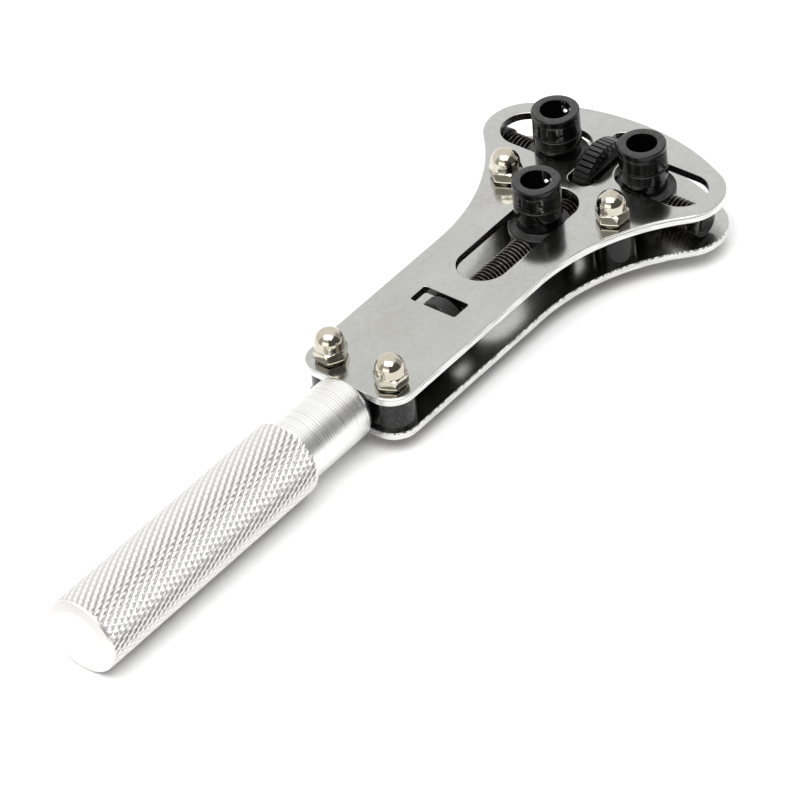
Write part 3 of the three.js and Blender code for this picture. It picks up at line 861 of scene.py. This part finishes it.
def handle_block():
    x, y = REAR_BOLT[:2]
    points = [(REAR_X, -LUG_HALF), (x - SPACER_RADIUS, -LUG_HALF)]
    points += arc((x, -y), SPACER_RADIUS, 180, 360, 6) + arc((x, y), SPACER_RADIUS, 0, 180, 6)
    points += [(x - SPACER_RADIUS, LUG_HALF), (REAR_X, LUG_HALF)]
    holes = [arc((x, side * y), BOLT_HOLE, 0, 360, 10) for side in (1, -1)]
    edge = 0.18
    rings = [(edge, GAP_HALF), (edge * 0.3, GAP_HALF - edge * 0.3), (0, GAP_HALF - edge)]
    rings += [(inset, -height) for inset, height in rings[::-1]]
    block = slab(drop_doubles(points), holes, rings)
    stud_hole = rod(STUD_HOLE, REAR_X - 1, STUD_HIGH[0] + 0.3, "x", 48)
    front = x + SPACER_RADIUS + 1
    journal_hole = rod(JOURNAL_RADIUS + RUNNING_GAP, SCREW_REAR - 0.3, front, "x", 48)
    return boolean(boolean(block, stud_hole), journal_hole)


place("handle_block", handle_block(), BLACK)


def crest_of(shape, axis, centre, radius, depth=0.6):
    """How near each point is to the thread's crest, 0 at the root and 1 at the crest."""
    points = np.array(shape.points) - np.array(centre)
    out = {"x": (1, 2), "y": (0, 2)}[axis]
    distance = np.hypot(points[:, out[0]], points[:, out[1]])
    return {"crest": np.clip(1 - (radius - distance) / depth, 0, 1).tolist()}


stud = threaded_bar("x", STUD_LOW[0], STUD_HIGH[0], STUD_RADIUS)
place("handle_stud", stud, THREAD_STEEL, attributes=crest_of(stud, "x", (0, 0, 0), STUD_RADIUS))

# ---- handle
HANDLE_LOW, HANDLE_HIGH = local_box("handle")
GRIP_RADIUS = HANDLE_HIGH[1]
END_FACE_RADIUS, END_CONE = 6.2, 0.7
GRIP_FRONT = -105.2
COLLAR_RADIUS, NOSE_RADIUS = 7.0, 1.4
KNURL_RIDGES = 36
KNURL_PER_MM = 0.375  # ridges crossed per millimetre along the grip
KNURL_STEPS = 6  # mesh steps from ridge to ridge
KNURL_DEPTHS = (0.22, 0.34)  # the two crossing groove families
KNURL_EDGE = 0.35
CONE_SHADE = 1.2  # painted shade: the end cone is grey on its upper part, like the grooves
GROOVE_PITCH = 0.69  # turning grooves on the collar
GROOVE_DEPTHS = (0.022, 0.044)
GROOVE_SHADE = 1.3  # how dark the painted shade in the deepest of them is


def v_groove(phase, depth):
    """Depth of a V groove at whole phases, with flat ridges between."""
    distance = np.abs(phase - np.round(phase))
    return depth * np.clip(1 - distance / 0.36, 0, 1)


def knurled_grip(shape, low, high, painted_shade):
    """Diamond knurl whose mesh runs along the ridges. Returns its first and last rings."""
    around = KNURL_RIDGES * KNURL_STEPS
    step = 1 / (2 * KNURL_STEPS * KNURL_PER_MM)
    rows = int(round((high - low) / step))
    rows -= rows % 2
    random = np.random.default_rng(7)
    rings = []
    for m in range(rows + 1):
        x = low + (high - low) * m / rows
        n = (m % 2) + 2 * np.arange(around)
        first = (m - n) / (2 * KNURL_STEPS)
        second = (m + n) / (2 * KNURL_STEPS)
        depth = np.maximum(v_groove(first, KNURL_DEPTHS[0]), v_groove(second, KNURL_DEPTHS[1]))
        runout = min(1.0, min(m, rows - m) * step / KNURL_EDGE)
        wobble = random.normal(0, 0.012, around)
        radius = GRIP_RADIUS - depth * runout - np.abs(wobble) * runout
        if m in (0, rows):
            radius = radius - 0.12
        angle = pi * n / around
        ring = [(x, r * cos(a), r * sin(a)) for r, a in zip(radius, angle)]
        rings.append(shape.ring(ring))
        # painted shade in the knurl's grooves, darker the deeper the groove
        painted_shade += list(depth * runout / KNURL_DEPTHS[0])
    for m in range(rows - 1):
        # each diamond joins one ring to the second ring ahead of it
        here, middle, ahead = rings[m], rings[m + 1], rings[m + 2]
        for k in range(around):
            left = middle[k - 1] if m % 2 == 0 else middle[k]
            right = middle[k] if m % 2 == 0 else middle[(k + 1) % around]
            shape.faces.append((here[k], right, ahead[k], left))
    for k in range(around):
        shape.faces.append((rings[0][k], rings[0][(k + 1) % around], rings[1][k]))
        last, before = rings[rows], rings[rows - 1]
        shape.faces.append((last[(k + 1) % around], last[k], before[k]))
    return rings[0], rings[rows]


def lathe_ring(shape, x, radius, count, painted_shade, cut=0.0):
    """Ring of points about X. cut is the strength of painted shade on its upper part, fading to none at the
    bottom.
    """
    angles = [FULL_TURN * k / count for k in range(count)]
    # painted shade, strongest on the upper part of the ring
    painted_shade += [cut * min(1.0, max(0.0, 0.35 + 0.9 * sin(a))) for a in angles]
    return shape.ring([(x, radius * cos(a), radius * sin(a)) for a in angles])


def collar_profile(low, high):
    """Turned collar as (x, radius, painted shade): grooves of uneven depth, the deeper ones shaded darker,
    then a rounded nose.
    """
    random = np.random.default_rng(11)
    shallow, deep = GROOVE_DEPTHS
    steps = 8
    profile = [(low, COLLAR_RADIUS - 0.05, 0.0)]
    x = low + 0.1
    while x < high - NOSE_RADIUS - GROOVE_PITCH:
        depth = shallow + (deep - shallow) * random.random() ** 2
        for k in range(steps):
            lift = 0.5 - 0.5 * cos(FULL_TURN * k / steps)
            # painted shade in the groove, darker the deeper it is
            grey = GROOVE_SHADE * lift**2 * depth / deep
            profile.append((x + GROOVE_PITCH * k / steps, COLLAR_RADIUS - depth * lift**2, grey))
        x += GROOVE_PITCH
    for k in range(steps + 1):
        turn = pi / 2 * k / steps
        x = high - NOSE_RADIUS * (1 - sin(turn))
        profile.append((x, COLLAR_RADIUS - NOSE_RADIUS * (1 - cos(turn)), 0.0))
    return profile


def handle():
    shape, painted_shade = Shape(), []
    around = KNURL_RIDGES * KNURL_STEPS
    coarse = around // 3
    end_x, nose_x = HANDLE_LOW[0], HANDLE_HIGH[0]
    chain = [shape.ring([(end_x, 0, 0)]) * around]
    painted_shade.append(0.0)
    face_profile = [
        (0.0, 0.9), (0.0, 3.2), (0.0, END_FACE_RADIUS - 0.1), (0.03, END_FACE_RADIUS + 0.05),
        (END_CONE - 0.22, GRIP_RADIUS - 0.55), (END_CONE - 0.08, GRIP_RADIUS - 0.24),
        (END_CONE + 0.1, GRIP_RADIUS - 0.14),
    ]
    for x, radius in face_profile:
        # painted shade on the end cone
        cut = CONE_SHADE if END_FACE_RADIUS < radius < GRIP_RADIUS - 0.2 else 0.0
        chain.append(lathe_ring(shape, end_x + x, radius, around, painted_shade, cut))
    low, high = knurled_grip(shape, end_x + END_CONE + 0.3, GRIP_FRONT - 0.25, painted_shade)
    shape.join(chain + [low])
    shoulder = [high]
    for x, radius in ((-0.08, GRIP_RADIUS - 0.3), (0.0, GRIP_RADIUS - 0.45)):
        shoulder.append(lathe_ring(shape, GRIP_FRONT + x, radius, around, painted_shade))
    shape.join(shoulder)
    foot = lathe_ring(shape, GRIP_FRONT, COLLAR_RADIUS - 0.02, coarse, painted_shade)
    for k in range(coarse):
        n = (k + 1) % coarse
        edge = [shoulder[-1][(3 * k + j) % around] for j in range(4)]
        shape.faces.append((*edge, foot[n], foot[k]))
    chain = [foot]
    for x, radius, grey in collar_profile(GRIP_FRONT + 0.12, nose_x):
        chain.append(lathe_ring(shape, x, radius, coarse, painted_shade, grey))
    hole_end = STUD_LOW[0] - 1.5
    for x, radius in ((nose_x, STUD_HOLE + 0.3), (nose_x - 0.3, STUD_HOLE), (hole_end, STUD_HOLE)):
        chain.append(lathe_ring(shape, x, radius, coarse, painted_shade))
    chain.append(shape.ring([(hole_end - 1.3, 0, 0)]) * coarse)
    painted_shade.append(0.0)
    shape.join(chain)
    return shape, painted_shade


handle_shape, handle_painted_shade = handle()
# the cut attribute carries the painted shade of grooves and end cone
place("handle", handle_shape, ALUMINIUM, sharp=28, weighted=False, attributes={"cut": handle_painted_shade})

# ---- screws, thumb wheels, collars
SCREW_RADIUS = 2.95
CROSS_X = centre_of("cross_screw")[0]
CROSS_TIP = local_box("cross_screw")[1][1]
CROSS_SHOULDER = 24.5
WHEEL_CORE = 2.9


def cross_screw():
    """Screw along Y: left-hand thread on the left, right-hand on the right, plain in the wheel."""
    inner = 1.6
    core = turned(fillet(mirrored([
        (WHEEL_CORE, inner + 0.9, 0), (JOURNAL_RADIUS, inner + 1.0, 0),
        (JOURNAL_RADIUS, CROSS_SHOULDER - 0.2, 0), (JOURNAL_RADIUS, CROSS_TIP, 0.25), (0, CROSS_TIP, 0),
    ])), "y", 64)
    left = threaded_bar("y", inner, CROSS_SHOULDER, SCREW_RADIUS, hand=-1)
    right = threaded_bar("y", -CROSS_SHOULDER, -inner, SCREW_RADIUS, hand=1)
    joined = boolean(boolean(core, left, "UNION"), right, "UNION")
    return joined.moved((CROSS_X, 0, 0))


def centre_screw():
    low, high = local_box("centre_screw")
    shoulder = REAR_BOLT[0] + SPACER_RADIUS + 0.4
    journal = turned(
        fillet([(0, low[0], 0), (JOURNAL_RADIUS, low[0], 0.25), (JOURNAL_RADIUS, shoulder + 1, 0),
                (0, shoulder + 1, 0)]), "x", 64)
    thread = threaded_bar("x", shoulder, high[0], SCREW_RADIUS)
    return boolean(thread, journal, "UNION")


for node, shape, axis, centre in (
    ("cross_screw", cross_screw(), "y", (CROSS_X, 0, 0)),
    ("centre_screw", centre_screw(), "x", (0, 0, 0)),
):
    crest = crest_of(shape, axis, centre, SCREW_RADIUS)
    place(node, shape, THREAD_STEEL, sharp=40, weighted=False, attributes=crest)


WHEEL_BORE = 3.1


def thumb_wheel(axis, radius, half_width, bevel, teeth, depth, samples=12):
    """Wheel with broad flat teeth and narrow rounded grooves, bevelled at both faces."""
    shape = Shape()
    count = teeth * samples
    shares = np.arange(count) / samples
    from_groove = np.abs(shares - np.floor(shares) - 0.5)  # 0 in the groove, 0.5 on the crest
    rim = radius - depth * (1 - np.clip(from_groove / 0.17, 0, 1) ** 1.4)
    edge = 0.12
    section = fillet(mirrored([
        (radius, half_width - bevel, 0.15), (radius - bevel, half_width, 0.15),
        (WHEEL_BORE + edge, half_width, 0), (WHEEL_BORE, half_width - edge, 0),
    ]))
    rings = []
    for r, height in section:
        ring = [along_axis(axis, min(r, rim[k]), FULL_TURN * k / count, height) for k in range(count)]
        rings.append(shape.ring(ring))
    shape.join(rings, closed=True)
    return shape


cross_wheel = thumb_wheel("y", radius=9.35, half_width=2.4, bevel=0.75, teeth=44, depth=0.45)
place("cross_thumb_wheel", cross_wheel.moved((CROSS_X, 0, 0)), BLACK)
centre_wheel = thumb_wheel("x", radius=5.2, half_width=1.9, bevel=0.5, teeth=72, depth=0.07, samples=8)
place("centre_thumb_wheel", centre_wheel.moved((centre_of("centre_thumb_wheel")[0], 0, 0)), BLACK)

for side in ("left", "right"):
    low, high = local_box("screw_end_collar_" + side)
    collar = ring_shape(2.05, high[0] - CROSS_X, low[1], high[1], "y", edge=0.22)
    place("screw_end_collar_" + side, collar.moved((CROSS_X, 0, 0)), BLACK)

# ---- jaws
SOCKET_RADIUS, SOCKET_BORE, NECK_RADIUS, FLANGE_RADIUS = 5.1, 3.2, 4.6, 6.6
SLEEVE_LOW, SLEEVE_HIGH = (local_box("left_spring_sleeve")[i][2] for i in (0, 1))
SLEEVE_INNER, SLEEVE_OUTER, SLEEVE_SLIT = 4.7, 5.05, 2.2
BALL_RADIUS = 1.1
BALL_HOLE = (1.06, 1.2, SOCKET_BORE + 0.05)  # radius at the bore and outside, and where it widens
CUP_FOOT_Z = FACE_Z + 0.8
FLANGE_TOP = GAP_HALF - RUNNING_GAP
FLANGE_FOOT = FLANGE_TOP - 1.6
FLANGE_BODY = 5.6
SOCKET_FLOOR_Z = 4.2


def jaw(screw_axis, ball_side):
    """Jaw about Z: socket, neck, body with two flanges; drilled for the screw and the ball."""
    groove = SLEEVE_INNER - 0.05
    corners = [
        (0, -FLANGE_TOP, 0),
        *mirrored([(FLANGE_BODY, FLANGE_FOOT, 0.15), (FLANGE_RADIUS, FLANGE_FOOT, 0.2),
                   (FLANGE_RADIUS, FLANGE_TOP, 0.3)]),
        (NECK_RADIUS, FLANGE_TOP, 0.25), (NECK_RADIUS, CUP_FOOT_Z, 0.12),
        (SOCKET_RADIUS, CUP_FOOT_Z, 0.55), (SOCKET_RADIUS, SLEEVE_LOW - 0.05, 0.24),
        (groove, SLEEVE_LOW - 0.05, 0.05), (groove, SLEEVE_HIGH + 0.05, 0.03),
        (SOCKET_RADIUS, SLEEVE_HIGH + 0.05, 0.24), (SOCKET_RADIUS, MOUTH_Z, 0.36),
        (SOCKET_BORE, MOUTH_Z, 0.16), (SOCKET_BORE, SOCKET_FLOOR_Z + 0.6, 0.2), (0, SOCKET_FLOOR_Z, 0),
    ]
    body = turned(fillet(corners, 5), "z", 96)
    reach = FLANGE_RADIUS + 1
    body = boolean(body, rod(SCREW_RADIUS + 0.12, -reach, reach, screw_axis, 64))
    narrow, wide, lip = BALL_HOLE
    ball_hole = turned([(0, 2.2), (narrow, 2.2), (narrow, lip), (wide, lip + 0.2), (wide, 6.0), (0, 6.0)],
                       "x", 40)
    return boolean(body, half_turned(ball_hole, ball_side).moved((0, 0, BALL_Z)))


def half_turned(shape, side):
    """The shape itself for side 1, turned half a turn about Z for side -1."""
    shape.points = [(side * x, side * y, z) for x, y, z in shape.points]
    return shape


BALL_Z = centre_of("left_detent_ball")[2]
SLEEVE_PLAY = 0.3  # the sleeve is this much shorter than its groove
SLEEVE_FLEX = (1.5, 4.4)  # two distances from the socket's axis, handed to place() with the sleeve, which does not use them


def spring_sleeve():
    """Split sleeve round the socket; the slit faces the handle."""
    opening = asin(SLEEVE_SLIT / 2 / SLEEVE_INNER)
    low, high = SLEEVE_LOW + SLEEVE_PLAY, SLEEVE_HIGH
    section = fillet([
        (SLEEVE_INNER, low, 0), (SLEEVE_OUTER, low, 0.2), (SLEEVE_OUTER, high, 0.2), (SLEEVE_INNER, high, 0),
    ], 4)
    shape = Shape()
    count = 90
    stations = []
    for k in range(count + 1):
        angle = opening - pi + (FULL_TURN - 2 * opening) * k / count
        stations.append(shape.ring([along_axis("z", r, angle, z) for r, z in section]))
    shape.join(stations)
    ends = [tuple(stations[0][::-1]), tuple(stations[-1])]
    shape.faces = [face[::-1] for face in shape.faces + ends]
    return shape


def detent_ball():
    steps = 24
    turns = [pi * k / steps for k in range(1, steps)]
    profile = [(BALL_RADIUS * sin(turn), -BALL_RADIUS * cos(turn)) for turn in turns]
    return turned([(0, -BALL_RADIUS), *profile, (0, BALL_RADIUS)], "x", 40)


for side, screw_axis in (("left", "y"), ("right", "y"), ("centre", "x")):
    x, y, _ = centre_of(side + "_jaw")
    ball_at = centre_of(side + "_detent_ball")
    ball_side = 1 if ball_at[0] > x else -1
    place(side + "_jaw", jaw(screw_axis, ball_side).moved((x, y, 0)), BLACK)
    sleeve = half_turned(spring_sleeve(), ball_side).moved((x, y, 0))
    still, pushed = ((x + ball_side * reach, y, BALL_Z) for reach in SLEEVE_FLEX)
    place(side + "_spring_sleeve", sleeve, BLACK, flex=(BODY_OF[side + "_detent_ball"], still, pushed))
    place(side + "_detent_ball", detent_ball().moved(ball_at), BALL_STEEL, sharp=180, weighted=False)

# ---- studio
CAMERA = {"azimuth": -47.34, "elevation": 39.53, "roll": -6.76, "distance": 995.7, "lens": 221.75}
CAMERA_TARGET = (-69.2, 1.3, -11.5)


def toward(azimuth, elevation):
    """Unit vector at these degrees; azimuth 0 is the -Y side."""
    a, e = radians(azimuth), radians(elevation)
    return Vector((sin(a) * cos(e), -cos(a) * cos(e), sin(e)))


def add_camera():
    roll = radians(CAMERA["roll"])
    back = toward(CAMERA["azimuth"], CAMERA["elevation"])
    right = (-back).cross(Vector((0, 0, 1))).normalized()
    up = right.cross(-back)
    side = right * cos(roll) + up * sin(roll)
    top = up * cos(roll) - right * sin(roll)
    camera = new_object("camera", bpy.data.cameras.new("camera"))
    target = Vector(DATUM) + Vector(CAMERA_TARGET)
    turn = Matrix((side, top, back)).transposed().to_4x4()
    camera.matrix_world = Matrix.Translation((target + back * CAMERA["distance"]) * MM) @ turn
    camera.data.lens = CAMERA["lens"]
    camera.data.sensor_width = 36
    camera.data.clip_start, camera.data.clip_end = 0.05, 10
    bpy.context.scene.camera = camera
    return back, right


def add_floor():
    """White sheet under the tool, resting against the cross wheel and the end of the grip."""
    half = 0.45
    low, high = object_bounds()
    centre_x = (low.x + high.x) / 2
    wheel_x = (DATUM[0] + CROSS_X) * MM
    grip_x = (DATUM[0] + HANDLE_LOW[0] + END_CONE) * MM
    grip_z = (DATUM[2] - GRIP_RADIUS) * MM
    slope = grip_z / (grip_x - wheel_x)
    mesh = bpy.data.meshes.new("floor")
    corners = [(-half, -half), (half, -half), (half, half), (-half, half)]
    points = [(centre_x + x, y, slope * (centre_x + x - wheel_x) - 0.00002) for x, y in corners]
    mesh.from_pydata(points, [], [(0, 1, 2, 3)])
    g = Finish("white_sheet")
    colour = g.mix(g.noise(40, 2), (0.90, 0.90, 0.90), (0.92, 0.92, 0.92))
    mesh.materials.append(g.done(Base_Color=colour, Roughness=0.7, Specular_IOR_Level=0.2))
    new_object("floor", mesh)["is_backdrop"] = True


# Brightness of the tent, and of patches in it: azimuth from, to, elevation from, to (degrees from the
# camera's side, positive to its right), softness and brightness.
SKY = 1.12
HORIZON = (-4, -1)
BELOW_HORIZON = 0.08
FILL = 0.2  # how much brighter the tent is for matt surfaces
SURROUNDINGS = (
    (-90, 125, -3, 44, 7, 0.52),
    (-58, -8, 2, 28, 4, 1.9),
    (-8, 88, -3, 52, 5, 0.12),
)


def add_world(back, right):
    """Bright tent. On the camera's side: a window, a darker room low down, the photographer."""
    world = bpy.data.worlds.new("tent")
    bpy.context.scene.world = world
    g = Graph(world)
    direction = g.coords["Generated"]
    front = Vector((back.x, back.y, 0)).normalized()
    ahead, across = (
        g.vector("DOT_PRODUCT", direction, tuple(axis), output="Value") for axis in (front, right)
    )
    azimuth = g.math("ARCTAN2", across, ahead)  # 0 towards the camera, positive to its right
    elevation = g.math("ARCSINE", g.split(direction)[2])
    level = g.remap(elevation, *(radians(edge) for edge in HORIZON), BELOW_HORIZON, SKY)
    for *region, brightness in SURROUNDINGS:
        low_az, high_az, low_el, high_el, soft = (radians(value) for value in region)
        patch = g.times(g.band(azimuth, low_az, high_az, soft), g.band(elevation, low_el, high_el, soft))
        level = g.blend(patch, level, brightness)
    path = g.node("ShaderNodeLightPath").outputs
    fill = g.times(level, g.math("ADD", 1.0, g.times(path["Is Diffuse Ray"], FILL)))
    seen = g.blend(path["Is Camera Ray"], fill, 1.0)
    g.end("ShaderNodeOutputWorld", g.node("ShaderNodeBackground"), Color=(1.0, 1.0, 1.0), Strength=seen)


def add_softbox(azimuth, elevation, distance, size, power):
    """Soft light over the tool, aimed at its middle."""
    light = bpy.data.lights.new("softbox", "AREA")
    light.shape = "RECTANGLE"
    light.size, light.size_y = size
    light.energy = power
    lamp = new_object("softbox", light)
    away = toward(azimuth, elevation)
    lamp.location = away * distance
    lamp.rotation_euler = away.to_track_quat("Z", "Y").to_euler()


back, right = add_camera()
add_floor()
add_world(back, right)
add_softbox(azimuth=-64, elevation=70, distance=0.9, size=(1.0, 0.6), power=6.5)
bpy.context.scene.view_settings.view_transform = "Standard"

low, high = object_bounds()
{"cad": [list(corner) for corner in cad_bounds], "visual": [list(low), list(high)]}
